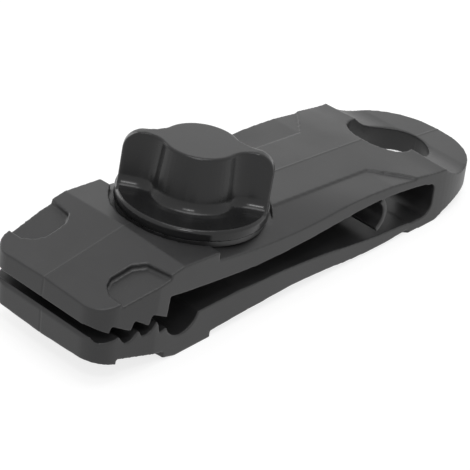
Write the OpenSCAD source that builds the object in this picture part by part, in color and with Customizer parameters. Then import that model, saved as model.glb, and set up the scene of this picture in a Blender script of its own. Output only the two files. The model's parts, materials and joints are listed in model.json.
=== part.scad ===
// Screw-closed tarp clip: a moulded body whose two arms close like jaws when a winged knob is turned,
// with toothed lips in front and a rope eye behind. All sizes are in millimetres.
// X runs from the lips to the rope eye, Z is up, and the clip rests on the flat of its lower arm at Z = 0.

/* [Body] */
// Length from the lips to the tip of the tail
overall_l = 110; // [100:0.5:120]
// Width across the side walls, at the tail
body_w = 32; // [31:0.5:36]
// Width across the front block, behind the scallops
front_w = 31; // [29.5:0.5:32]
// Length of the solid tail behind the window
tail_l = 20.9; // [20:0.1:24]
// Height between the outer faces of the arms, at the lips
jaw_h = 21; // [20.8:0.1:24]
// Height between the outer faces of the arms, at the window's end
heel_h = 12.73; // [12.5:0.01:13.5]
// Width of the blunt front edge of each lip
nose_w = 19.4; // [14:0.2:21]
// Radius of the two front corners in plan
nose_r = 4.8; // [2:0.1:5]
// Distance from the lips at which the nose reaches the width of the front block
nose_l = 13; // [11:0.5:20]

/* [Arm outside] */
// Length of the sloping ramp behind the lips
ramp_l = 18.5; // [15:0.5:20]
// How far the outer edge of the lip lies below the flat of the arm
ramp_d = 4.7; // [3:0.1:5.5]
// How far the ramp falls from its middle line to the side walls, at the lips
nose_roof_d = 0.6; // [0.2:0.05:0.8]
// Distance from the lips at which the lowered side facets start
facet_x = 27.5; // [24:0.5:30]
// Width of the raised panel between the side facets
panel_w = 17.4; // [14:0.2:20]
// Step from the raised panel down to a facet
facet_step = 0.55; // [0.4:0.05:0.8]
// Greatest depth of an upper facet at the side wall
facet_d = 2.8; // [2:0.1:3]
// Greatest depth of a lower facet at the side wall
low_facet_d = 2.2; // [1.6:0.1:2.4]
// Distance from the lips at which the raised panel starts to flare
flare_x = 75.5; // [70:0.5:78]
// Length of the flare
flare_l = 7; // [4:0.5:9]
// How far the top falls from its middle line to the side walls
roof_d = 0.45; // [0.2:0.05:0.5]
// The same at the tail, where the scoop starts
tail_roof_d = 1.3; // [0.8:0.1:1.5]

/* [Finger scallops] */
// Distance from the lips to the front of a scallop
scallop_x = 4.8; // [4:0.1:6]
// Length of a scallop along the side wall
scallop_l = 11; // [9:0.1:12]
// Reach of a scallop in from the side wall
scallop_w = 7.8; // [5:0.1:9]
// Depth of a scallop below the ramp
scallop_d = 1.4; // [0.8:0.1:1.8]

/* [Jaws] */
// Length of the toothed lips
jaw_l = 15.9; // [15:0.1:16]
// Thickness of the upper lip at its front edge, down from the flat of the arm
upper_lip_t = 8.77; // [8:0.05:9]
// Height of the lower lip at its front edge, up from the flat of the arm
lower_lip_t = 9.58; // [8.8:0.02:9.8]
// Depth of a tooth
tooth_d = 1.6; // [0.8:0.1:1.8]
// Radius of the groove that takes a beaded hem
bead_r = 4.1; // [3.6:0.1:4.2]
// Distance from the lips to the middle of the groove
bead_x = 19.8; // [19.4:0.1:20.2]

/* [Arm walls] */
// Thickness of the lower arm at the screw
lower_t = 7.2; // [7:0.1:7.6]
// Thickness of the upper arm at the screw
upper_t = 6.6; // [6.2:0.1:6.8]
// Radius of the window's corners under the upper arm
window_top_r = 1.7; // [1:0.1:2.4]
// Radius of the window's corners over the lower arm
window_low_r = 2.6; // [1.5:0.1:3.2]
// Distance ahead of the window's end at which the lower arm meets the tail
seam_back = 5.8; // [5:0.1:6.2]

/* [Flexing wall] */
// Distance ahead of the window's end of the line about which the upper arm flexes
flex_back = 7.4; // [6.6:0.1:9]
// Radius of the rounded end of the upper arm about that line
flex_r = 5; // [3:0.1:5.4]
// Gap between the rounded end and its seat in the tail
flex_gap = 0.12; // [0.08:0.01:0.2]

/* [Rope eye] */
// Length of the eye
eye_l = 17.8; // [17:0.1:18.6]
// Width of the eye
eye_w = 14.8; // [12:0.1:16]
// Length of the blunt rounding at the eye's front end
eye_front_l = 5.6; // [4.6:0.1:7]
// Width of the ring behind the eye
ring_w = 7.4; // [7:0.1:8]
// Height of the upper face of the ring, at the end of the scoop
ring_top_z = 7.4; // [7:0.1:8]
// Thickness of the ring there
ring_t = 5; // [4:0.1:5.4]
// Slope of the upper face of the ring, in degrees
ring_slope = 7; // [4:0.5:9]
// Distance behind the window's end at which the scoops start
scoop_back = 1.8; // [1.4:0.1:2.6]
// Length of each scoop down to the ring
scoop_l = 11; // [8:0.1:12]

/* [Spring leaf] */
// Distance from the lips to the root of the leaf
leaf_x = 73; // [70:0.2:74]
// Thickness of the leaf
leaf_t = 1.1; // [0.7:0.05:1.4]
// How far the leaf bows towards the tail
leaf_bow = 1.9; // [1:0.1:2.4]
// Gap between the leaf's free end and the lower arm
leaf_gap = 1.1; // [0.9:0.1:2]

/* [Knob] */
// Distance from the lips to the screw
knob_x = 35.7; // [34.5:0.1:37]
// Diameter of the knob's flange
knob_d = 28.7; // [27:0.1:31]
// Thickness of the flange
flange_t = 2.1; // [1.6:0.1:2.6]
// Bevel round the flange's top edge
rim_bevel = 0.4; // [0.2:0.05:0.6]
// Height of the grip above the flange
grip_h = 10.6; // [8:0.1:12]
// Radius of the hub at the top of the grip
hub_r = 7.2; // [6.8:0.1:7.8]
// Half thickness of a wing at the top of the grip
wing_t = 1.1; // [0.9:0.05:1.6]
// How much the grip widens from its top to its foot, on each side
grip_draft = 0.9; // [0.4:0.05:1.1]
// Radius of the hollow between hub and wing
hollow_r = 4.8; // [3.6:0.1:5.4]
// Radius of the wings' top corners
wing_corner_r = 3.8; // [2:0.1:4.4]
// Direction of the wings in plan
wing_a = -52; // [-90:1:90]

/* [Screw, nut and washer] */
// Thread diameter of the bolt
bolt_d = 5; // [4.6:0.1:5.4]
// Width across the flats of the bolt's head and of the nut
hex_af = 8; // [7.5:0.1:8.6]
// Height of the bolt's head
head_t = 3.5; // [3:0.1:4]
// Thickness of the nut
nut_t = 4; // [3.2:0.1:4.2]
// Diameter of the washer
washer_d = 28; // [24:0.1:28.4]
// Thickness of the washer
washer_t = 1.3; // [1.1:0.05:1.5]
// Depth of the round seat for washer and flange in the upper arm
seat_d = 1.5; // [1.3:0.05:1.6]

/* [Hidden] */
$fn = 64;

// Clearances
over = 1;                  // overrun of every cut
bolt_clear = 0.3;          // round the bolt, in the arms
thread_clear = 0.08;       // between bolt and nut
face_clear = 0.02;         // between the washer and the turning flange
seat_clear = 0.8;          // round the flange, in its seat
hex_clear = 0.12;          // between the nut's flats and its pocket
rock_clear = 0.8;          // each way along X, for the nut and bolt as the jaws open
nut_top_clear = 0.5;       // above the nut, for its rocking
foot_clear = 0.7;          // from the bolt's end up to the surface that the clip rests on
scallop_edge = 1.8;        // extra reach of a scallop past the side wall

// Small details
bead_lift = 1.2;           // from the lower arm's inner face up to the middle of the groove
grip_fillet = 1.9;         // radius at the grip's foot
grip_edge = 0.35;          // radius of the grip's top edge
tip_inset = 0.45;          // from the flange's rim in to the wings' tips
tip_share = 0.6;           // radius of a wing tip in plan, as a share of the wing's half thickness

// Shares of an arm's thickness at the screw
flex_share = 0.21;         // depth of the flexing line in the upper arm
leaf_share = 0.382;        // depth at which the leaf leaves the upper arm
window_wall_share = 0.31;  // thickness of the lower arm at the window's end
root_share = 0.506;        // thickness of the upper arm at the window's end

// Places that follow from the driving dimensions
arm_l = overall_l - tail_l;
half_w = body_w / 2;
wedge_a = atan((jaw_h - heel_h) / arm_l);
upper_shift = upper_lip_t * sin(wedge_a);
seam_x = arm_l - seam_back;
flex_x = arm_l - flex_back;
scoop_x = arm_l + scoop_back;
ring_x = scoop_x + scoop_l;
knob_r = knob_d / 2;
bolt_r = bolt_d / 2;
hex_r = hex_af / sqrt(3);
eye_r = eye_w / 2;
eye_end_x = overall_l - ring_w;
flex_d = upper_t * flex_share;
arc_n = 10;
hub_n = 8;
hollow_n = 8;
tip_n = 3;
fillet_n = 6;
corner_n = 8;
tail_n = 24;
facet_n = 48;
roof_n = 12;
tail_power = 2.25;         // of the tail's rounded outline: 2 would be an ellipse

// Inner face of each arm: shares of the arm's length and of its thickness at the screw
lower_inner_shares = [
    [0.265, 1.01], [0.330, 1.01], [0.390, 1.00], [0.415, 0.98], [0.445, 0.965], [0.475, 0.95],
    [0.505, 0.935], [0.536, 0.907], [0.567, 0.87], [0.598, 0.833], [0.630, 0.79], [0.662, 0.74],
    [0.711, 0.65], [0.765, 0.552], [0.828, 0.46], [0.861, 0.43], [0.895, 0.395], [0.920, 0.36]
];
upper_inner_shares = [
    [0.180, 0.88], [0.222, 0.93], [0.262, 0.95], [0.300, 0.97], [0.350, 0.99], [0.400, 1.00],
    [0.438, 0.985], [0.468, 0.957], [0.498, 0.924], [0.528, 0.886], [0.558, 0.843], [0.588, 0.80],
    [0.619, 0.738], [0.649, 0.681], [0.680, 0.619], [0.711, 0.548], [0.742, 0.481], [0.774, 0.435],
    [0.806, 0.404], [0.840, 0.395], [0.875, 0.402], [0.930, 0.438]
];

// Teeth along the lips: shares of the lip's length and of the tooth's depth
lower_tooth_shares = [
    [0.036, 0.46], [0.064, -0.11], [0.097, -0.31], [0.264, -0.13], [0.315, 0.07], [0.391, -1.08],
    [0.458, -1.14], [0.510, -0.87], [0.584, -0.13], [0.633, -1.07], [0.714, -1.05],
    [0.766, -0.78], [0.834, 0.12], [0.870, -0.60], [0.887, -1.60], [1, -1.45]
];
upper_tooth_shares = [
    [0.022, -0.09], [0.167, 0.51], [0.190, 0.56], [0.213, -0.20], [0.222, -0.23], [0.442, 0.85],
    [0.484, 0.90], [0.520, -0.09], [0.540, -0.06], [0.700, 0.85], [0.737, 0.96], [0.764, -0.16],
    [0.776, -0.23], [1, 0.76]
];

// Side facets: shares of the way from the facet's start to the flare, and of the facet's depth
lower_facet_shares = [
    [0, 0.61], [0.065, 0.67], [0.16, 0.78], [0.27, 0.88], [0.38, 0.97], [0.45, 1], [0.52, 0.93],
    [0.60, 0.81], [0.68, 0.68], [0.76, 0.50], [0.88, 0.33], [1, 0.26]
];
upper_facet_shares = [
    [0, 0.76], [0.06, 0.88], [0.12, 0.94], [0.20, 0.99], [0.28, 1], [0.36, 0.96], [0.45, 0.88],
    [0.52, 0.77], [0.60, 0.60], [0.67, 0.43], [0.73, 0.32], [0.80, 0.22], [0.88, 0.17], [1, 0.17]
];

// Scallop outline in plan: shares of its length and of its reach
scallop_shares = [[0, 0.62], [0.12, 0.88], [0.28, 1], [0.70, 0.97], [0.90, 0.76]];

// Points of an arc round c from angle a0 to a1
function arc(c, r, a0, a1, n = arc_n) =
    [for (i = [0:n]) let (a = a0 + (a1 - a0) * i / n) c + r * [cos(a), sin(a)]];

// Height at x of a smooth curve through a table of points, from its k-th span on
function tangent(pts, k) = let (
    a = pts[max(k - 1, 0)],
    b = pts[min(k + 1, len(pts) - 1)]
) (b[1] - a[1]) / (b[0] - a[0]);
function curve(pts, x, k = 0) = k < len(pts) - 2 && x > pts[k + 1][0] ? curve(pts, x, k + 1) : let (
    l = pts[k + 1][0] - pts[k][0],
    u = (x - pts[k][0]) / l,
    v = 1 - u
) v * v * ((1 + 2 * u) * pts[k][1] + u * l * tangent(pts, k))
    + u * u * ((1 + 2 * v) * pts[k + 1][1] - v * l * tangent(pts, k + 1));

// Tables of shares turned into points
function scaled(shares, l, t) = [for (s = shares) [s[0] * l, s[1] * t]];
function teeth(shares, t) = [for (s = shares) [s[0] * jaw_l, t + s[1] * tooth_d]];

// Plan outline of the body: blunt nose, straight sides and elliptical tail
nose_side_a = atan((front_w / 2 - nose_w / 2 - nose_r) / (nose_l - nose_r));
tail_r = overall_l - scoop_x;
function half_outline() = concat(
    arc([nose_r, nose_w / 2], nose_r, 180, 90 + nose_side_a),
    [[nose_l, front_w / 2], [facet_x, front_w / 2]],
    [for (i = [0:tail_n]) let (a = 90 - 90 * i / tail_n)
        [scoop_x + tail_r * pow(cos(a), 2 / tail_power), half_w * pow(sin(a), 2 / tail_power)]]
);
function mirrored(pts) = concat(pts, [for (i = [len(pts) - 1:-1:0]) [pts[i][0], -pts[i][1]]]);

// A prism with the given side view, as wide as the body
module side_prism(pts, w = body_w) {
    rotate([90, 0, 0])
        linear_extrude(w + 2 * over, center = true)
            polygon(pts);
}

// The body's plan outline, through its whole height
module plan_prism() {
    translate([0, 0, -over])
        linear_extrude(jaw_h + 2 * over)
            polygon(mirrored(half_outline()));
}

// A closed solid through sections of equal point counts. Each is a list of 3D points that runs
// clockwise as seen from the last section
module loft(sections) {
    n = len(sections[0]);
    last = len(sections) - 1;
    polyhedron(
        points = [for (s = sections) for (p = s) p],
        faces = concat(
            [[for (i = [n - 1:-1:0]) i]],
            [for (k = [0:last - 1]) for (i = [0:n - 1]) for (f = [
                [k * n + i, (k + 1) * n + (i + 1) % n, (k + 1) * n + i],
                [k * n + i, k * n + (i + 1) % n, (k + 1) * n + (i + 1) % n]
            ]) f],
            [[for (i = [0:n - 1]) last * n + i]]
        )
    );
}

// Moves a piece modelled on the outer face of an arm, depth upwards, to the upper arm's place
module on_upper() {
    translate([upper_shift, 0, jaw_h])
        rotate([0, wedge_a, 0])
            mirror([0, 0, 1])
                children();
}

// Puts the origin under the middle of the clip
module centred() {
    translate([-overall_l / 2, 0, 0])
        children();
}

// Lowered side facets, cut from the outer face of an arm
module facet_cuts(shares, depth) {
    l = flare_x - facet_x;
    out = half_w + over;
    in = panel_w / 2;
    slope = (out - in) / (half_w - in);
    end_x = flare_x + flare_l * slope;
    function section(x, y, d) = [
        [x, y, facet_step], [x, out, facet_step + (d - facet_step) * slope],
        [x, out, -over], [x, y, -over]
    ];
    for (s = [0, 1])
        mirror([0, s, 0])
            loft(concat(
                [for (i = [0:facet_n]) let (u = i / facet_n)
                    section(facet_x + u * l, in, curve(shares, u) * depth)],
                [section(end_x, out - facet_step, roof_d + facet_step)]
            ));
}

// Fall of an outer face from its middle line to the side walls. Each station is [distance from the
// lips, depth of the middle line, fall at the side wall]
module falls(stations) {
    out = half_w + over;
    for (s = [0, 1])
        mirror([0, s, 0])
            loft([for (t = stations) [
                [t[0], 0, t[1]], [t[0], out, t[1] + t[2] * out / half_w],
                [t[0], out, -over], [t[0], 0, -over]
            ]]);
}

// Fall of the ramp, down to the given fall where the flat starts
module ramp_falls(flat_d) {
    falls([for (i = [0:roof_n]) let (x = -over + (ramp_l + over) * i / roof_n) [
        x, ramp_d * (1 - x / ramp_l), flat_d + (nose_roof_d - flat_d) * (1 - x / ramp_l)
    ]]);
}

// Fall of the flat, steeper at the tail
module roof_falls() {
    start_x = flare_x + flare_l / 2;
    falls(concat(
        [[ramp_l - over, 0, roof_d]],
        [for (i = [0:roof_n]) let (u = i / roof_n) [
            start_x + (scoop_x - start_x) * u, 0,
            roof_d + (tail_roof_d - roof_d) * u * u * (3 - 2 * u)
        ]],
        [[overall_l + over, 0, tail_roof_d]]
    ));
}

// Finger scallops, cut from the ramp of an arm
module scallops() {
    for (s = [0, 1])
        mirror([0, s, 0])
            intersection() {
                translate([scallop_x, half_w, -over])
                    linear_extrude(ramp_d * 2)
                        polygon(concat(
                            [[0, scallop_edge]],
                            [for (p = scallop_shares) [p[0] * scallop_l, -p[1] * scallop_w]],
                            [[scallop_l, scallop_edge]]
                        ));
                side_prism([
                    [0, ramp_d + scallop_d], [ramp_l, scallop_d],
                    [ramp_l, -over], [0, -over]
                ], body_w + scallop_edge);
            }
}

// Everything that both arms share on the outside
module arm_outside() {
    intersection() {
        children();
        plan_prism();
    }
}

// Oblong hole for a rope: round behind, blunter in front
module rope_eye() {
    front = eye_end_x - eye_l + eye_front_l;
    rear = eye_end_x - eye_r;
    translate([rear, 0, -over])
        cylinder(r = eye_r, h = jaw_h + 2 * over);
    translate([front, 0, -over])
        scale([eye_front_l / eye_r, 1, 1])
            cylinder(r = eye_r, h = jaw_h + 2 * over);
    translate([front, -eye_r, -over])
        cube([rear - front, eye_w, jaw_h + 2 * over]);
}

// Screw axis: children are modelled on it, with Z pointing up out of the upper arm
module on_screw() {
    on_upper()
        translate([knob_x, 0, 0])
            mirror([0, 0, 1])
                children();
}

// Depths along the screw below the upper arm's outer face
axis_foot_z = jaw_h - knob_x * sin(wedge_a);
bolt_depth = (axis_foot_z - bolt_r * sin(wedge_a) - foot_clear) / cos(wedge_a);
nut_depth = (axis_foot_z - hex_r * sin(wedge_a) - foot_clear) / cos(wedge_a);

// Hexagon with two corners on X, drawn out along X
function hexagon(af, draw = 0) = let (r = af / sqrt(3)) [
    [r + draw, 0], [r / 2 + draw, af / 2], [-r / 2 - draw, af / 2],
    [-r - draw, 0], [-r / 2 - draw, -af / 2], [r / 2 + draw, -af / 2]
];

// Pocket and slot for nut and bolt in the lower arm
module nut_pocket() {
    hole_r = bolt_r + bolt_clear;
    on_screw() {
        translate([0, 0, -axis_foot_z - over])
            linear_extrude(axis_foot_z + over - nut_depth + nut_t + nut_top_clear)
                polygon(hexagon(hex_af + 2 * hex_clear, rock_clear));
        for (x = [-rock_clear, rock_clear])
            translate([x, 0, -axis_foot_z - over])
                cylinder(r = hole_r, h = axis_foot_z);
        translate([-rock_clear, -hole_r, -axis_foot_z - over])
            cube([2 * rock_clear, 2 * hole_r, axis_foot_z]);
    }
}

// Lower arm: toothed lip, bead groove and nut pocket
module lower_arm() {
    inner = concat(
        [[0, lower_lip_t]],
        teeth(lower_tooth_shares, lower_lip_t),
        [[jaw_l, lower_t]],
        scaled(lower_inner_shares, arm_l, lower_t)
    );
    color([0.16, 0.16, 0.165])
        centred()
            difference() {
                arm_outside()
                    side_prism(concat(
                        [[0, ramp_d]], inner,
                        [[seam_x, lower_t * window_wall_share], [seam_x, 0], [ramp_l, 0]]
                    ));
                facet_cuts(lower_facet_shares, low_facet_d);
                ramp_falls(0);
                scallops();
                translate([bead_x, 0, lower_t + bead_lift])
                    rotate([90, 0, 0])
                        cylinder(r = bead_r, h = body_w + 2 * over, center = true);
                nut_pocket();
                rope_eye();
            }
}

// Side view of the upper arm, depth upwards, with its rear end left long
function upper_side() = let (end = flex_x + flex_r + over) concat(
    [[0, ramp_d], [0, upper_lip_t]],
    teeth(upper_tooth_shares, upper_lip_t),
    scaled(upper_inner_shares, arm_l, upper_t),
    [[end, upper_t * root_share], [end, 0], [ramp_l, 0]]
);

// Upper arm: toothed lip, washer seat and the rounded end that flexes in the tail
module upper_arm() {
    cut_r = flex_r * 3;
    color([0.17, 0.17, 0.175])
        centred()
            difference() {
                on_upper()
                    difference() {
                        arm_outside()
                            side_prism(upper_side());
                        facet_cuts(upper_facet_shares, facet_d);
                        ramp_falls(roof_d);
                        roof_falls();
                        scallops();
                        translate([knob_x, 0, -over])
                            cylinder(r = knob_r + seat_clear, h = seat_d + over);
                        translate([knob_x, 0, -over])
                            cylinder(r = bolt_r + bolt_clear, h = upper_t + 2 * over);
                        translate([flex_x, 0, flex_d])
                            rotate([90, 0, 0])
                                difference() {
                                    cylinder(r = cut_r, h = body_w + 2 * over, center = true);
                                    cylinder(r = flex_r, h = body_w + 4 * over, center = true);
                                    translate([-cut_r, -cut_r, -body_w])
                                        cube([cut_r, cut_r * 2, body_w * 2]);
                                }
                    }
                rope_eye();
            }
}

// Tail: closed end of the window, scooped faces and the ring round the rope eye
module tail_loop() {
    // Corners of the upper wall, in the upright frame
    function upper_pt(x, d) = [
        upper_shift + x * cos(wedge_a) - d * sin(wedge_a),
        jaw_h - x * sin(wedge_a) - d * cos(wedge_a)
    ];
    flex_end = flex_x + flex_r - over;
    top_edge = upper_pt((scoop_x - upper_shift) / cos(wedge_a), 0);
    wall_end = upper_pt(flex_end, upper_t * root_share);
    window_top = wall_end[1] - (arm_l - wall_end[0]) * tan(wedge_a);
    window_low = lower_t * window_wall_share;
    drop = top_edge[1] - ring_top_z;
    rise = ring_top_z - ring_t;
    tip_drop = (overall_l - ring_x) * tan(ring_slope);
    // Radius of an arc that is level at the ring and passes through the scoop's edge
    function scoop_r(l, h) = (l * l + h * h) / (2 * h);
    top_r = scoop_r(scoop_l, drop);
    low_r = scoop_r(scoop_l, rise);
    outline = concat(
        [[seam_x, 0]],
        arc([ring_x, rise - low_r], low_r, 90 + asin(scoop_l / low_r), 90),
        [[overall_l, rise], [overall_l, ring_top_z - tip_drop]],
        arc([ring_x, ring_top_z + top_r], top_r, 270, 270 - asin(scoop_l / top_r)),
        [upper_pt(flex_end, 0), wall_end],
        arc([arm_l - window_top_r, window_top - window_top_r], window_top_r, 90, 0),
        arc([arm_l - window_low_r, window_low + window_low_r], window_low_r, 0, -90),
        [[seam_x, window_low]]
    );
    color([0.19, 0.19, 0.195])
        centred()
            difference() {
                intersection() {
                    side_prism(outline);
                    plan_prism();
                }
                on_upper() {
                    roof_falls();
                    translate([flex_x, 0, flex_d])
                        rotate([90, 0, 0])
                            cylinder(r = flex_r + flex_gap, h = body_w + 2 * over, center = true);
                }
                rope_eye();
            }
}

// Curved leaf that hangs from the upper arm into the window
module spring_leaf() {
    root_d = upper_t * leaf_share;
    floor_z = lower_t * lookup(leaf_x / arm_l, lower_inner_shares);
    leaf_l = (jaw_h - leaf_x * sin(wedge_a) - floor_z) / cos(wedge_a) - leaf_gap - root_d;
    r = (leaf_l * leaf_l / 4 + leaf_bow * leaf_bow) / (2 * leaf_bow);
    a = asin(leaf_l / 2 / r);
    color([0.18, 0.18, 0.185])
        centred()
            on_upper()
                difference() {
                    arm_outside()
                        translate([leaf_x + leaf_bow - r, 0, root_d + leaf_l / 2])
                            side_prism(concat(arc([0, 0], r, -a, a), arc([0, 0], r - leaf_t, a, -a)));
                    side_prism(upper_side(), body_w + over);
                }
}

// Flat washer between the knob and the upper arm
module washer() {
    color([0.22, 0.22, 0.22])
        centred()
            on_screw()
                translate([0, 0, -seat_d])
                    difference() {
                        cylinder(d = washer_d, h = washer_t);
                        translate([0, 0, -over])
                            cylinder(r = bolt_r + bolt_clear, h = washer_t + 2 * over);
                    }
}

// Outline of the grip: hub of radius rh, hollows of radius rv and wings of half thickness t. A hollow that
// would reach past the wing's tip ends there
function grip_quarter(rh, t, rv, tip, round) = let (
    xc = sqrt(pow(rh + rv, 2) - pow(t + rv, 2)),
    a = asin((t + rv) / (rh + rv)),
    reach = min(tip - round - xc, 0) / rv,
    end_t = t + rv - rv * sqrt(1 - reach * reach)
) concat(
    arc([0, 0], rh, 90, a, hub_n),
    arc([xc, t + rv], rv, 180 + a, 360 - acos(reach), hollow_n),
    arc([tip - round, end_t - round], round, 90, 0, tip_n)
);
function grip_outline(rh, t, rv, tip, round) = let (q = grip_quarter(rh, t, rv, tip, round)) concat(
    q,
    [for (i = [len(q) - 1:-1:0]) [q[i][0], -q[i][1]]],
    [for (p = q) [-p[0], -p[1]]],
    [for (i = [len(q) - 1:-1:0]) [-q[i][0], q[i][1]]]
);

// Winged knob on a round flange, moulded round the bolt's head
module knob() {
    base = washer_t - seat_d + face_clear;
    color([0.13, 0.13, 0.13])
        centred()
            on_screw()
                translate([0, 0, base])
                    difference() {
                        union() {
                            cylinder(r = knob_r, h = flange_t - rim_bevel);
                            translate([0, 0, flange_t - rim_bevel])
                                cylinder(r1 = knob_r, r2 = knob_r - rim_bevel, h = rim_bevel);
                            translate([0, 0, flange_t])
                                rotate([0, 0, wing_a])
                                    grip();
                        }
                        bolt_space();
                    }
}

// Grip of the knob: sections from the foot to the top, drawn in along the draft and the wings' corners
module grip() {
    tip = knob_r - tip_inset;
    levels = concat(
        [-flange_t / 2, 0],
        [for (i = [1:fillet_n]) grip_fillet * i / fillet_n],
        [for (i = [0:corner_n]) grip_h - wing_corner_r + (wing_corner_r - grip_edge) * i / corner_n],
        [grip_h - grip_edge / 2, grip_h]
    );
    // How far a round of radius r draws the outline in, at distance u from where it starts
    function round_in(r, u) = u <= 0 ? 0 : r - sqrt(pow(r, 2) - pow(min(u, r), 2));
    function foot(z) = round_in(grip_fillet, grip_fillet - max(z, 0));
    function corner(z) = round_in(wing_corner_r, z - grip_h + wing_corner_r);
    function top(z) = round_in(grip_edge, z - grip_h + grip_edge);
    loft([for (z = levels) let (
        d = grip_draft * (1 - max(z, 0) / grip_h) + foot(z) - top(z),
        out = grip_outline(hub_r + d, wing_t + d, hollow_r - d, tip - corner(z), wing_t * tip_share)
    ) [for (p = out) [p[0], p[1], z]]]);
}

// Space that the bolt's head and shank take in the knob
module bolt_space() {
    translate([0, 0, -over])
        cylinder(r = bolt_r, h = flange_t + over);
    translate([0, 0, flange_t])
        linear_extrude(head_t)
            polygon(hexagon(hex_af));
}

// Bolt whose hexagonal head is moulded into the knob
module bolt() {
    base = washer_t - seat_d + face_clear;
    color([0.62, 0.62, 0.6])
        centred()
            on_screw() {
                translate([0, 0, -bolt_depth])
                    cylinder(r = bolt_r, h = bolt_depth + base + flange_t);
                translate([0, 0, base + flange_t])
                    linear_extrude(head_t)
                        polygon(hexagon(hex_af));
            }
}

// Hexagonal nut, loose in its pocket so that it can rock as the jaws open
module nut() {
    color([0.66, 0.66, 0.64])
        centred()
            on_screw()
                translate([0, 0, -nut_depth])
                    difference() {
                        linear_extrude(nut_t)
                            polygon(hexagon(hex_af));
                        translate([0, 0, -over])
                            cylinder(r = bolt_r + thread_clear, h = nut_t + 2 * over);
                    }
}

lower_arm();
tail_loop();
upper_arm();
spring_leaf();
washer();
knob();
bolt();
nut();
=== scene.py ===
import json
import math

import bmesh
import bpy
import numpy as np
from mathutils import Matrix, Vector


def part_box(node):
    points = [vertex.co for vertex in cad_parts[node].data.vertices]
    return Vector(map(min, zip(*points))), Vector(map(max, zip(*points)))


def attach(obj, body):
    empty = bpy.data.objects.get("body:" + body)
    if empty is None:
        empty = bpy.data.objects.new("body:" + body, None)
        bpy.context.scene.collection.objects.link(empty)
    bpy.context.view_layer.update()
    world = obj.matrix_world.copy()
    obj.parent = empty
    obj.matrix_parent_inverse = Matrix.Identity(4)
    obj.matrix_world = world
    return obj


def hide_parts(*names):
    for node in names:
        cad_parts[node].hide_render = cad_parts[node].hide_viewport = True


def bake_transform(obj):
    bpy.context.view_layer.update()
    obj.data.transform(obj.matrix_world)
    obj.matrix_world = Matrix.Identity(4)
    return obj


# A screw-closed tarp clip, in metres, in the CAD row's frame: X from the lips to the rope eye, Z up.
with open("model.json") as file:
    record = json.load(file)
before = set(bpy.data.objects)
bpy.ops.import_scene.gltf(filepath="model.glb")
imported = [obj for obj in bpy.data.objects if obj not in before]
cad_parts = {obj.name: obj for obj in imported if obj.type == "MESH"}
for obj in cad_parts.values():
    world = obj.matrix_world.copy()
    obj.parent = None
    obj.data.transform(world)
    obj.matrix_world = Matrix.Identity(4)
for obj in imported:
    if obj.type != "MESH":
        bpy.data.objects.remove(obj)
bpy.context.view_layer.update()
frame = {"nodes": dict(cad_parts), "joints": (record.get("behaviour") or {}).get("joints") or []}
scene = bpy.context.scene
MM = 0.001

# The photograph's camera
CAMERA_AT = Vector((-0.277184, -0.230529, 0.236757))
CAMERA_FORWARD = Vector((0.63924078, 0.54218634, -0.54534869))
CAMERA_RIGHT = Vector((0.68932305, -0.71835406, 0.09381456))
LENS_MM = 172.41
SENSOR_MM = 36
CLIP_START = 0.01

# The screw's axis, the line about which the upper arm bends, and the slope of the arm at the screw
JOINTS = {j["name"]: j for j in frame["joints"]}
SCREW_FOOT = Vector(JOINTS["screw_spin"]["pos_m"])
SCREW_AXIS = Vector(JOINTS["screw_spin"]["axis"]).normalized()
FLEX_AT = Vector(JOINTS["jaw_flex"]["pos_m"])
ARM_SLOPE = math.atan2(SCREW_AXIS.x, SCREW_AXIS.z)

# Moulded plastic. A noise is (scale per metre, detail, roughness), and a ramp has stops of (noise, result).
# RUBBED is what the flow of the moulding adds to the roughness.
FLOW_NOISE = (90.0, 3.0, 0.55)
FLOW_RAMP = ((0.3, 0.0), (0.7, 1.0))
FLOW_SHADES = (0.86, 1.16)
RUBBED = ((0.25, -0.05), (0.75, 0.06))
SPECK_NOISE = (1400.0, 2.0, 0.7)
SPECK_RAMP = ((0.66, 0.0), (0.74, 0.5))
SPECK_SHADE = 2.0
GRAIN_DETAIL = 3.0
GRAIN_ROUGHNESS = 0.6
GRAIN_STRENGTH = 1.0

# Zinc plating
ZINC_DULL = (0.40, 0.41, 0.42)
ZINC_BRIGHT = (0.62, 0.62, 0.60)
PATCH_NOISE = (700.0, 4.0, 0.6)
PATCH_ROUGHNESS = ((0.3, 0.28), (0.7, 0.42))
TURNING_NOISE = (9000.0, 2.0, 0.5)
TURNING_STRENGTH = 0.5
TURNING_DEPTH = 0.01 * MM

# Remeshing: voxel sizes, and rounds of smoothing after it. In a round a vertex moves SMOOTHING of the way
# to the middle of its neighbours.
BODY_VOXEL = 0.19 * MM
BODY_ROUNDS = 4
KNOB_VOXEL = 0.16 * MM
KNOB_ROUNDS = 4
SMOOTHING = 0.5

# Solids: vertices closer than WELD are joined, and those closer than ON_PLANE lie on the plane of a cut.
WELD = 1e-6
ON_PLANE = 1e-7

# Body: how far two parts of its nodes are drawn over their seams, and where those parts are cut off, the
# tail's front at a share of the lower arm's height
SEAM_FILL = 0.16 * MM
TAIL_OVERLAP = 0.3 * MM
REAR_END_FROM = FLEX_AT.x + 2.5 * MM
TAIL_FRONT_SHARE = 0.3

# Body: where the side facets, the tail's scoops and its flat faces are faired. A level is the least Z of a
# vertex's normal, up or down, and TAIL_CLEAR is in edges from the border.
FACET_X = (-26.2 * MM, 20.0 * MM)
FACET_Y = (9.4 * MM, 14.9 * MM)
FACET_LEVEL = 0.9
FACET_ROUNDS = 60
SCOOP_X = (36.7 * MM, 47.0 * MM)
SCOOP_LEVEL = 0.7
SCOOP_ROUNDS = 25
TAIL_X = (12.0 * MM, 36.4 * MM)
TAIL_LEVEL = 0.955
TAIL_ROUNDS = 40
TAIL_CLEAR = 3

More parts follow.
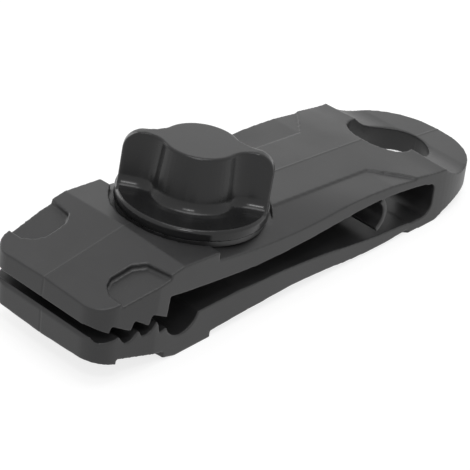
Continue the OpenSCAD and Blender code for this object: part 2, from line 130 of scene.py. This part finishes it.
# Body: the parting line, which is a ridge where a normal's Z is over UPPER_FACE
PARTING_HALF = 0.10 * MM
PARTING_HEIGHT = 0.045 * MM
UPPER_FACE = 0.5

# Body: where the upper arm's piece ends. In front of PART_X, faces that hang together and reach over
# UPPER_OVER are the upper arm's.
PART_X = FLEX_AT.x + 6.8 * MM
UPPER_OVER = 12.5 * MM

# Screw and nut. The crest and both flanks are shares of the pitch, and SKIN keeps a shape off the CAD size.
SCREW_SIDES = 96
SKIN = 0.02 * MM
PITCH = 0.8 * MM
STEPS_PER_PITCH = 10
CREST_SHARE = 0.12
FLANK_SHARE = 0.72
BOLT_R = 2.5 * MM
BOLT_THREAD = 0.42 * MM
BORE_R = BOLT_R + 0.10 * MM
BORE_THREAD = 0.25 * MM
HEX_FLAT = 8.0 * MM
HEX_CORNER = HEX_FLAT / math.sqrt(3)

# Bolt: its end, as (height, how far inside BOLT_R), its chamfer, and how far the thread stays from its end
# and its head
TIP = ((0.0, 0.70 * MM), (0.02 * MM, 0.66 * MM))
BOLT_CHAMFER = 0.6 * MM
THREAD_START = 0.06 * MM
THREAD_END = 0.7 * MM

# Bolt: its neck, and its head. LIMITS are (height over the foot or depth under the top, largest radius).
NECK_INSIDE = 0.1 * MM
HEAD_T = 3.5 * MM
HEAD_FOOT_LIMIT = (0.01 * MM, 4.3 * MM)
HEAD_TOP_LIMITS = ((0.4 * MM, 4.5 * MM), (0.02 * MM, 3.9 * MM))

# Nut, on both faces: (depth, largest radius) of the hexagon, (depth, what is added to BORE_R) of the bore's
# mouth, and how deep the thread starts
NUT_LIMITS = (
    (0.01 * MM, HEX_FLAT / 2 - 0.15 * MM),
    (0.12 * MM, HEX_FLAT / 2 + 0.05 * MM),
    (0.45 * MM, HEX_CORNER - SKIN),
)
BORE_MOUTH = ((0.01 * MM, 0.35 * MM), (0.4 * MM, 0.02 * MM))
BORE_THREAD_START = 0.45 * MM

# Washer: the radius of its rims
RIM = 0.22 * MM
RIM_STEPS = 6
WASHER_SIDES = 128

# Lights: name, place, what it looks at, size and power
CLIP_MIDDLE = (0, 0, 0.01)
LIGHTS = (
    ("top_softbox", (0.07, 0.0, 0.80), CLIP_MIDDLE, 0.40, 1.6),
    ("back_softbox", (0.05, 0.75, 0.27), CLIP_MIDDLE, 0.40, 1.0),
    ("right_softbox", (0.53, 0.53, 0.27), CLIP_MIDDLE, 0.40, 0.15),
    ("key", (-0.33, -0.27, 0.65), (-0.01, 0, 0.015), 0.12, 0.9),
)

# World and floor
WHITE = (1, 1, 1, 1)
DOME_LIGHT = 0.62
FLOOR_GREY = (0.3, 0.3, 0.3, 1)
FLOOR_GLOW = 0.78
FLOOR_HALF = 4


def shader_node(tree, kind, **inputs):
    """A shader node of that kind, with its inputs set by name."""
    made = tree.nodes.new(kind)
    for name, value in inputs.items():
        made.inputs[name.replace("_", " ")].default_value = value
    return made


def noise(tree, scale, detail, roughness):
    """Noise that stays on the object, from 0 to 1."""
    made = shader_node(tree, "ShaderNodeTexNoise", Scale=scale, Detail=detail, Roughness=roughness)
    tree.links.new(tree.nodes.new("ShaderNodeTexCoord").outputs["Object"], made.inputs["Vector"])
    return made.outputs["Fac"]


def ramp(tree, source, stops):
    """A colour ramp on source. stops are (place, grey)."""
    made = tree.nodes.new("ShaderNodeValToRGB")
    elements = made.color_ramp.elements
    while len(elements) < len(stops):
        elements.new(0.5)
    for element, (place, grey) in zip(elements, stops):
        element.position = place
        element.color = (grey, grey, grey, 1)
    tree.links.new(source, made.inputs["Fac"])
    return made.outputs["Color"]


def mixed(tree, factor, a, b):
    """The colour from a to b, by the factor's socket. a is a colour or a socket, and b a colour."""
    made = tree.nodes.new("ShaderNodeMix")
    made.data_type = "RGBA"
    if isinstance(a, bpy.types.NodeSocket):
        tree.links.new(a, made.inputs["A"])
    else:
        made.inputs["A"].default_value = (*a, 1)
    made.inputs["B"].default_value = (*b, 1)
    tree.links.new(factor, made.inputs["Factor"])
    return made.outputs["Result"]


def math_node(tree, operation, a, b):
    """The output of a Math node on a and b, each a socket or a number."""
    made = tree.nodes.new("ShaderNodeMath")
    made.operation = operation
    for slot, value in zip(made.inputs, (a, b)):
        if isinstance(value, bpy.types.NodeSocket):
            tree.links.new(value, slot)
        else:
            slot.default_value = value
    return made.outputs[0]


def bumped(tree, shader, height, strength, depth):
    """Gives the shader relief of that depth from the height's socket."""
    bump = shader_node(tree, "ShaderNodeBump", Strength=strength, Distance=depth)
    tree.links.new(height, bump.inputs["Height"])
    tree.links.new(bump.outputs["Normal"], shader.inputs["Normal"])


def new_material(name):
    """A material with nodes, its tree and its shader."""
    material = bpy.data.materials.new(name)
    material.use_nodes = True
    return material, material.node_tree, material.node_tree.nodes["Principled BSDF"]


def shade(colour, times):
    """colour, made that many times as light."""
    return tuple(min(1, c * times) for c in colour)


def moulded_plastic(name, colour, roughness, grain, grain_depth, specular):
    """Moulded nylon: fine spark-eroded grain, faint flow marks and fine pale specks."""
    material, tree, shader = new_material(name)
    shader.inputs["Specular IOR Level"].default_value = specular
    flow = noise(tree, *FLOW_NOISE)

    # Colour: a little lighter and darker with the flow of the moulding, and paler in the specks
    dark, light = (shade(colour, times) for times in FLOW_SHADES)
    flowed = mixed(tree, ramp(tree, flow, FLOW_RAMP), dark, light)
    in_speck = ramp(tree, noise(tree, *SPECK_NOISE), SPECK_RAMP)
    specked = mixed(tree, in_speck, flowed, shade(colour, SPECK_SHADE))
    tree.links.new(specked, shader.inputs["Base Color"])

    # Roughness: rubbed a little smoother in patches
    rubbed = ramp(tree, flow, [(place, roughness + change) for place, change in RUBBED])
    tree.links.new(rubbed, shader.inputs["Roughness"])

    grains = noise(tree, 1 / grain, GRAIN_DETAIL, GRAIN_ROUGHNESS)
    bumped(tree, shader, grains, GRAIN_STRENGTH, grain_depth)
    return material


def plated_steel(name):
    """Zinc-plated steel with fine turning marks and dull patches."""
    material, tree, shader = new_material(name)
    shader.inputs["Metallic"].default_value = 1.0
    patches = noise(tree, *PATCH_NOISE)
    tree.links.new(mixed(tree, patches, ZINC_DULL, ZINC_BRIGHT), shader.inputs["Base Color"])
    tree.links.new(ramp(tree, patches, PATCH_ROUGHNESS), shader.inputs["Roughness"])
    bumped(tree, shader, noise(tree, *TURNING_NOISE), TURNING_STRENGTH, TURNING_DEPTH)
    return material


BODY_PLASTIC = moulded_plastic(
    "body_nylon", (0.018, 0.018, 0.0185),
    roughness=0.40, grain=0.30 * MM, grain_depth=0.012 * MM, specular=0.46,
)
KNOB_PLASTIC = moulded_plastic(
    "knob_nylon", (0.012, 0.012, 0.0124),
    roughness=0.22, grain=0.45 * MM, grain_depth=0.006 * MM, specular=0.34,
)
WASHER_PLASTIC = moulded_plastic(
    "washer_nylon", (0.024, 0.024, 0.0245),
    roughness=0.40, grain=0.35 * MM, grain_depth=0.006 * MM, specular=0.5,
)
STEEL = plated_steel("zinc_steel")


def set_surface(mesh, material):
    """Gives a mesh one material and smooth shading."""
    mesh.materials.clear()
    mesh.materials.append(material)
    mesh.polygons.foreach_set("use_smooth", [True] * len(mesh.polygons))


def piece(name, mesh, material):
    """A new shown object with one material and smooth shading."""
    made = bpy.data.objects.new(name, mesh)
    scene.collection.objects.link(made)
    set_surface(mesh, material)
    return made


def apply_modifiers(made):
    """Puts what made's modifiers give into its mesh."""
    bpy.context.view_layer.update()
    shown = made.evaluated_get(bpy.context.evaluated_depsgraph_get())
    baked = bpy.data.meshes.new_from_object(shown)
    made.modifiers.clear()
    old = made.data
    set_surface(baked, old.materials[0])
    made.data = baked
    bpy.data.meshes.remove(old)
    baked.name = made.name


def add_smoothing(made, rounds):
    """A smoothing modifier on made."""
    smooth = made.modifiers.new("smooth", "SMOOTH")
    smooth.factor = SMOOTHING
    smooth.iterations = rounds
    return smooth


def solid(node):
    """A bmesh copy of a CAD node."""
    made = bmesh.new()
    made.from_mesh(frame["nodes"][node].data)
    bmesh.ops.remove_doubles(made, verts=made.verts, dist=WELD)
    return made


def cut(source, at, normal):
    """Takes off what lies on the normal's side of the plane, and closes source there."""
    geometry = source.verts[:] + source.edges[:] + source.faces[:]
    done = bmesh.ops.bisect_plane(
        source, geom=geometry, dist=ON_PLANE, plane_co=at, plane_no=normal, clear_outer=True
    )
    edges = [e for e in done["geom_cut"] if isinstance(e, bmesh.types.BMEdge)]
    bmesh.ops.holes_fill(source, edges=edges, sides=0)
    bmesh.ops.triangulate(source, faces=source.faces[:])


def rounded(name, sources, material, voxel, rounds):
    """One closed piece through the given bmesh solids, remeshed finely and smoothed for moulded edges."""
    joined = bmesh.new()
    for source in sources:
        mesh = bpy.data.meshes.new("source")
        source.to_mesh(mesh)
        joined.from_mesh(mesh)
        bpy.data.meshes.remove(mesh)
        source.free()
    mesh = bpy.data.meshes.new(name)
    joined.to_mesh(mesh)
    joined.free()
    made = piece(name, mesh, material)
    remesh = made.modifiers.new("remesh", "REMESH")
    remesh.mode = "VOXEL"
    remesh.voxel_size = voxel
    add_smoothing(made, rounds)
    apply_modifiers(made)
    return made


def fair(made, rounds, test, clear=0):
    """Smooths the vertices that pass test(place, normal) and are that many edges clear of the others."""
    chosen = np.array([test(v.co, v.normal) for v in made.data.vertices])
    ends = np.empty(2 * len(made.data.edges), dtype=np.int64)
    made.data.edges.foreach_get("vertices", ends)
    ends = ends.reshape(-1, 2)
    for _ in range(clear):
        border = ends[chosen[ends[:, 0]] != chosen[ends[:, 1]]]
        chosen[border.ravel()] = False
    group = made.vertex_groups.new(name="fair")
    group.add(np.flatnonzero(chosen).tolist(), 1.0, "REPLACE")
    add_smoothing(made, rounds).vertex_group = group.name
    apply_modifiers(made)
    made.vertex_groups.clear()


def on_facet(at, normal):
    """On a side facet of the upper or lower arm."""
    in_length = FACET_X[0] < at.x < FACET_X[1]
    return in_length and FACET_Y[0] < abs(at.y) < FACET_Y[1] and abs(normal.z) > FACET_LEVEL


def on_scoop(at, normal):
    """On a scooped face in front of the ring."""
    return SCOOP_X[0] < at.x < SCOOP_X[1] and abs(normal.z) > SCOOP_LEVEL


def on_tail_face(at, normal):
    """On a flat face of the panel towards the tail."""
    return TAIL_X[0] < at.x < TAIL_X[1] and abs(normal.z) > TAIL_LEVEL


def parting_line(made):
    """The mould's line on the middle plane: a fine ridge on the upper faces, a fine groove elsewhere."""
    vertices = made.data.vertices
    places, normals = np.empty((2, 3 * len(vertices)), dtype=np.float32)
    vertices.foreach_get("co", places)
    vertices.foreach_get("normal", normals)
    places, normals = places.reshape(-1, 3), normals.reshape(-1, 3)
    on_line = np.abs(places[:, 1]) < PARTING_HALF
    up = normals[on_line, 2:] > UPPER_FACE
    places[on_line] += normals[on_line] * np.where(up, PARTING_HEIGHT, -PARTING_HEIGHT)
    vertices.foreach_set("co", places.ravel())
    made.data.update()


def on_upper_arm(source):
    """For each face, whether it is on the upper arm or its leaf, in front of PART_X."""
    work = bmesh.new()
    work.from_mesh(source.data)
    work.faces.ensure_lookup_table()
    middles = [f.calc_center_median() for f in work.faces]
    waiting = [middle.x < PART_X for middle in middles]
    upper = [False] * len(work.faces)
    for start in work.faces:
        if not waiting[start.index]:
            continue
        waiting[start.index] = False
        group, stack = [], [start]
        while stack:
            face = stack.pop()
            group.append(face.index)
            for edge in face.edges:
                for other in edge.link_faces:
                    if waiting[other.index]:
                        waiting[other.index] = False
                        stack.append(other)
        if max(middles[i].z for i in group) > UPPER_OVER:
            for i in group:
                upper[i] = True
    work.free()
    return upper


def split_off(source, name, chosen):
    """Moves the chosen faces of source to a new piece."""
    work = bmesh.new()
    work.from_mesh(source.data)
    rest = work.copy()
    for part, keep in ((work, True), (rest, False)):
        others = [face for face, taken in zip(part.faces, chosen) if taken != keep]
        bmesh.ops.delete(part, geom=others, context="FACES")
    mesh = bpy.data.meshes.new(name)
    work.to_mesh(mesh)
    rest.to_mesh(source.data)
    work.free()
    rest.free()
    return piece(name, mesh, source.data.materials[0])


# The moulded body is one piece in the real clip, so its four nodes are joined and remeshed as one. The rear
# end of the upper arm is drawn back over its seam, and the front of the tail forward into the lower arm.
rear_end = solid("upper_arm")
cut(rear_end, Vector((REAR_END_FROM, 0, 0)), Vector((-1, 0, 0)))
back_along_arm = Vector((math.cos(ARM_SLOPE), 0, -math.sin(ARM_SLOPE)))
bmesh.ops.translate(rear_end, verts=rear_end.verts, vec=back_along_arm * SEAM_FILL)

tail_front = solid("tail_loop")
lower_end_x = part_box("lower_arm")[1][0]
cut(tail_front, Vector((lower_end_x + TAIL_OVERLAP * 2, 0, 0)), Vector((1, 0, 0)))
cut(tail_front, Vector((0, 0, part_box("lower_arm")[1][2] * TAIL_FRONT_SHARE)), Vector((0, 0, 1)))
bmesh.ops.translate(tail_front, verts=tail_front.verts, vec=Vector((-TAIL_OVERLAP, 0, 0)))

body_solids = [solid(node) for node in ("lower_arm", "tail_loop", "upper_arm", "spring_leaf")]
body = rounded("body", [*body_solids, rear_end, tail_front], BODY_PLASTIC, BODY_VOXEL, BODY_ROUNDS)

# The side facets and the scoops are curved, so the strips of flats that the CAD solids have there go. The
# tail's faces are flat, so the steps that remeshing leaves there go.
fair(body, FACET_ROUNDS, on_facet)
fair(body, SCOOP_ROUNDS, on_scoop)
fair(body, TAIL_ROUNDS, on_tail_face, clear=TAIL_CLEAR)
parting_line(body)

# The body is shown as two pieces: the upper arm with its leaf, and the lower arm with the tail.
upper_body = split_off(body, "body_upper_arm", on_upper_arm(body))
body.name = "body_lower_arm_and_tail"
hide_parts("lower_arm", "tail_loop")
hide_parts("upper_arm", "spring_leaf")
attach(body, "lower_body")
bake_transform(upper_body)

# Knob: the moulded edges of its flange and wings are rounded in the same way
knob = rounded("wing_knob", [solid("knob")], KNOB_PLASTIC, KNOB_VOXEL, KNOB_ROUNDS)
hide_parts("knob")
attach(knob, "thumb_screw")


def span_on_screw(node):
    """A node's lowest and highest place on the screw's axis, and its largest and least radius about it."""
    heights, radii = [], []
    for vertex in frame["nodes"][node].data.vertices:
        away = vertex.co - SCREW_FOOT
        height = away.dot(SCREW_AXIS)
        heights.append(height)
        radii.append((away - SCREW_AXIS * height).length)
    return min(heights), max(heights), max(radii), min(radii)


def turned(name, rows, material, sides, closed):
    """A piece lofted through rows of (height, radius function of the angle) on the screw's axis.

    closed joins the last row to the first. Otherwise both end rows are capped.
    """
    made = bmesh.new()
    rings = []
    for height, radius in rows:
        ring = []
        for i in range(sides):
            angle = 2 * math.pi * i / sides
            r = radius(angle)
            ring.append(made.verts.new((r * math.cos(angle), r * math.sin(angle), height)))
        rings.append(ring)
    nexts = rings[1:] + rings[:1] if closed else rings[1:]
    for low, high in zip(rings, nexts):
        for i in range(sides):
            j = (i + 1) % sides
            made.faces.new((low[i], low[j], high[j], high[i]))
    if not closed:
        made.faces.new(rings[0][::-1])
        made.faces.new(rings[-1])
    onto_screw = Matrix.Translation(SCREW_FOOT) @ Matrix.Rotation(ARM_SLOPE, 4, "Y")
    bmesh.ops.transform(made, matrix=onto_screw, verts=made.verts)
    bmesh.ops.recalc_face_normals(made, faces=made.faces)
    mesh = bpy.data.meshes.new(name)
    made.to_mesh(mesh)
    made.free()
    return piece(name, mesh, material)


def circle(r):
    """Radius function of a circle."""
    return lambda angle: r


def hexagon(flat, limit):
    """Radius function of a hexagon with two corners on X, held inside a circle of radius limit."""

    def radius(angle):
        from_corner = (angle + math.pi / 6) % (math.pi / 3) - math.pi / 6
        from_flat = math.pi / 6 - abs(from_corner)
        return min(flat / 2 / math.cos(from_flat), limit)

    return radius


def thread_depth(height, angle):
    """The depth of a right-hand thread at that height and angle, from 0 at its crest to 1 at its root."""
    phase = (height / PITCH - angle / (2 * math.pi)) % 1.0
    from_crest = abs(phase - 0.5) * 2
    return min(1.0, max(0.0, (from_crest - CREST_SHARE) / FLANK_SHARE))


def shank(height, chamfer):
    """Radius function of the bolt's thread, kept at least that chamfer inside BOLT_R."""
    crest = BOLT_R - SKIN
    return lambda angle: min(crest - BOLT_THREAD * thread_depth(height, angle), BOLT_R - chamfer)


def bore(height):
    """Radius function of the nut's thread."""
    return lambda angle: BORE_R + BORE_THREAD * thread_depth(height, angle)


# Bolt: threaded shank with a chamfered end, and the hexagonal head inside the knob
low, high, *_ = span_on_screw("bolt")
head_foot = high - HEAD_T
head_flat = HEX_FLAT - 3 * SKIN
bolt_rows = [(low + height, circle(BOLT_R - inside)) for height, inside in TIP]
for k in range(int((head_foot - low - THREAD_END) / PITCH * STEPS_PER_PITCH)):
    z = low + THREAD_START + k * PITCH / STEPS_PER_PITCH
    bolt_rows.append((z, shank(z, max(0.0, BOLT_CHAMFER - (z - low)))))
height, limit = HEAD_FOOT_LIMIT
bolt_rows.append((head_foot, circle(BOLT_R - NECK_INSIDE)))
bolt_rows.append((head_foot + height, hexagon(head_flat, limit)))
bolt_rows += [(high - depth, hexagon(head_flat, limit)) for depth, limit in HEAD_TOP_LIMITS]
bolt = turned("bolt_with_thread", bolt_rows, STEEL, SCREW_SIDES, closed=False)
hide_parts("bolt")
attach(bolt, "thumb_screw")

# Nut: hexagon with both faces chamfered, round a threaded bore
low, high, *_ = span_on_screw("nut")
threaded = high - low - 2 * BORE_THREAD_START
count = int(threaded / PITCH * STEPS_PER_PITCH)
nut_flat = HEX_FLAT - SKIN
nut_rows = [(low + depth, hexagon(nut_flat, limit)) for depth, limit in NUT_LIMITS]
nut_rows += [(high - depth, hexagon(nut_flat, limit)) for depth, limit in NUT_LIMITS[::-1]]
nut_rows += [(high - depth, circle(BORE_R + added)) for depth, added in BORE_MOUTH]
for k in range(count + 1):
    z = high - BORE_THREAD_START - k * threaded / count
    nut_rows.append((z, bore(z)))
nut_rows += [(low + depth, circle(BORE_R + added)) for depth, added in BORE_MOUTH[::-1]]
nut = turned("hex_nut", nut_rows, STEEL, SCREW_SIDES, closed=True)
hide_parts("nut")
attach(nut, "captive_nut")

# Washer: a flat ring with both rims rounded
low, high, washer_r, bore_r = span_on_screw("washer")
lower_rim = []
for step in reversed(range(RIM_STEPS + 1)):
    angle = math.pi / 2 * step / RIM_STEPS
    height = low + RIM * (1 - math.sin(angle))
    lower_rim.append((height, washer_r - RIM * (1 - math.cos(angle))))
outside = lower_rim + [(low + high - z, r) for z, r in lower_rim[::-1]]
inside = [(z, bore_r + washer_r - r) for z, r in outside[::-1]]
washer_rows = [(z, circle(r)) for z, r in outside + inside]
washer = turned("glide_washer", washer_rows, WASHER_PLASTIC, WASHER_SIDES, closed=True)
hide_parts("washer")
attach(washer, "upper_jaw")

# Camera
camera_data = bpy.data.cameras.new("camera")
camera_data.lens = LENS_MM
camera_data.sensor_width = SENSOR_MM
camera_data.clip_start = CLIP_START
camera = bpy.data.objects.new("camera", camera_data)
camera_up = CAMERA_RIGHT.cross(CAMERA_FORWARD)
camera_turn = Matrix((CAMERA_RIGHT, camera_up, -CAMERA_FORWARD)).transposed().to_4x4()
camera.matrix_world = Matrix.Translation(CAMERA_AT) @ camera_turn
scene.collection.objects.link(camera)
scene.camera = camera

# Lights: square and soft
for name, at, look_at, size, power in LIGHTS:
    data = bpy.data.lights.new(name, "AREA")
    data.shape = "SQUARE"
    data.size = size
    data.energy = power
    lamp = bpy.data.objects.new(name, data)
    lamp.location = at
    lamp.rotation_euler = (Vector(look_at) - Vector(at)).to_track_quat("-Z", "Y").to_euler()
    scene.collection.objects.link(lamp)


def seen_as_background(tree):
    """1 for rays that see the background, straight or by gloss or glass, and 0 for those that it lights."""
    rays = tree.nodes.new("ShaderNodeLightPath").outputs
    seen = math_node(tree, "MAXIMUM", rays["Is Camera Ray"], rays["Is Glossy Ray"])
    return math_node(tree, "MAXIMUM", seen, rays["Is Transmission Ray"])


def combined(tree, kind, first, second):
    """A shader node of that kind on two shaders, which are its last two inputs."""
    made = tree.nodes.new(kind)
    tree.links.new(first.outputs[0], made.inputs[-2])
    tree.links.new(second.outputs[0], made.inputs[-1])
    return made


# World: a grey dome that is white where it is seen
world = bpy.data.worlds.new("studio")
scene.world = world
world.use_nodes = True
tree = world.node_tree
tree.nodes.clear()
dome = shader_node(tree, "ShaderNodeBackground", Color=WHITE, Strength=DOME_LIGHT)
white = shader_node(tree, "ShaderNodeBackground", Color=WHITE, Strength=1.0)
chosen = combined(tree, "ShaderNodeMixShader", dome, white)
tree.links.new(seen_as_background(tree), chosen.inputs["Fac"])
world_output = tree.nodes.new("ShaderNodeOutputWorld")
tree.links.new(chosen.outputs[0], world_output.inputs["Surface"])

# Floor: grey where it lights the clip, white where it is lit and seen, and it keeps the shadow
floor_material = bpy.data.materials.new("studio_floor")
floor_material.use_nodes = True
tree = floor_material.node_tree
tree.nodes.clear()
matte = shader_node(tree, "ShaderNodeBsdfDiffuse", Color=FLOOR_GREY)
glow = shader_node(tree, "ShaderNodeEmission", Color=WHITE)
strength = math_node(tree, "MULTIPLY", seen_as_background(tree), FLOOR_GLOW)
tree.links.new(strength, glow.inputs["Strength"])
floor_output = tree.nodes.new("ShaderNodeOutputMaterial")
both = combined(tree, "ShaderNodeAddShader", matte, glow)
tree.links.new(both.outputs[0], floor_output.inputs["Surface"])
floor_mesh = bpy.data.meshes.new("floor")
corners = [(x * FLOOR_HALF, y * FLOOR_HALF, 0) for x, y in ((-1, -1), (1, -1), (1, 1), (-1, 1))]
floor_mesh.from_pydata(corners, [], [(0, 1, 2, 3)])
floor_mesh.materials.append(floor_material)
floor = bpy.data.objects.new("floor", floor_mesh)
scene.collection.objects.link(floor)

scene.view_settings.view_transform = "Standard"
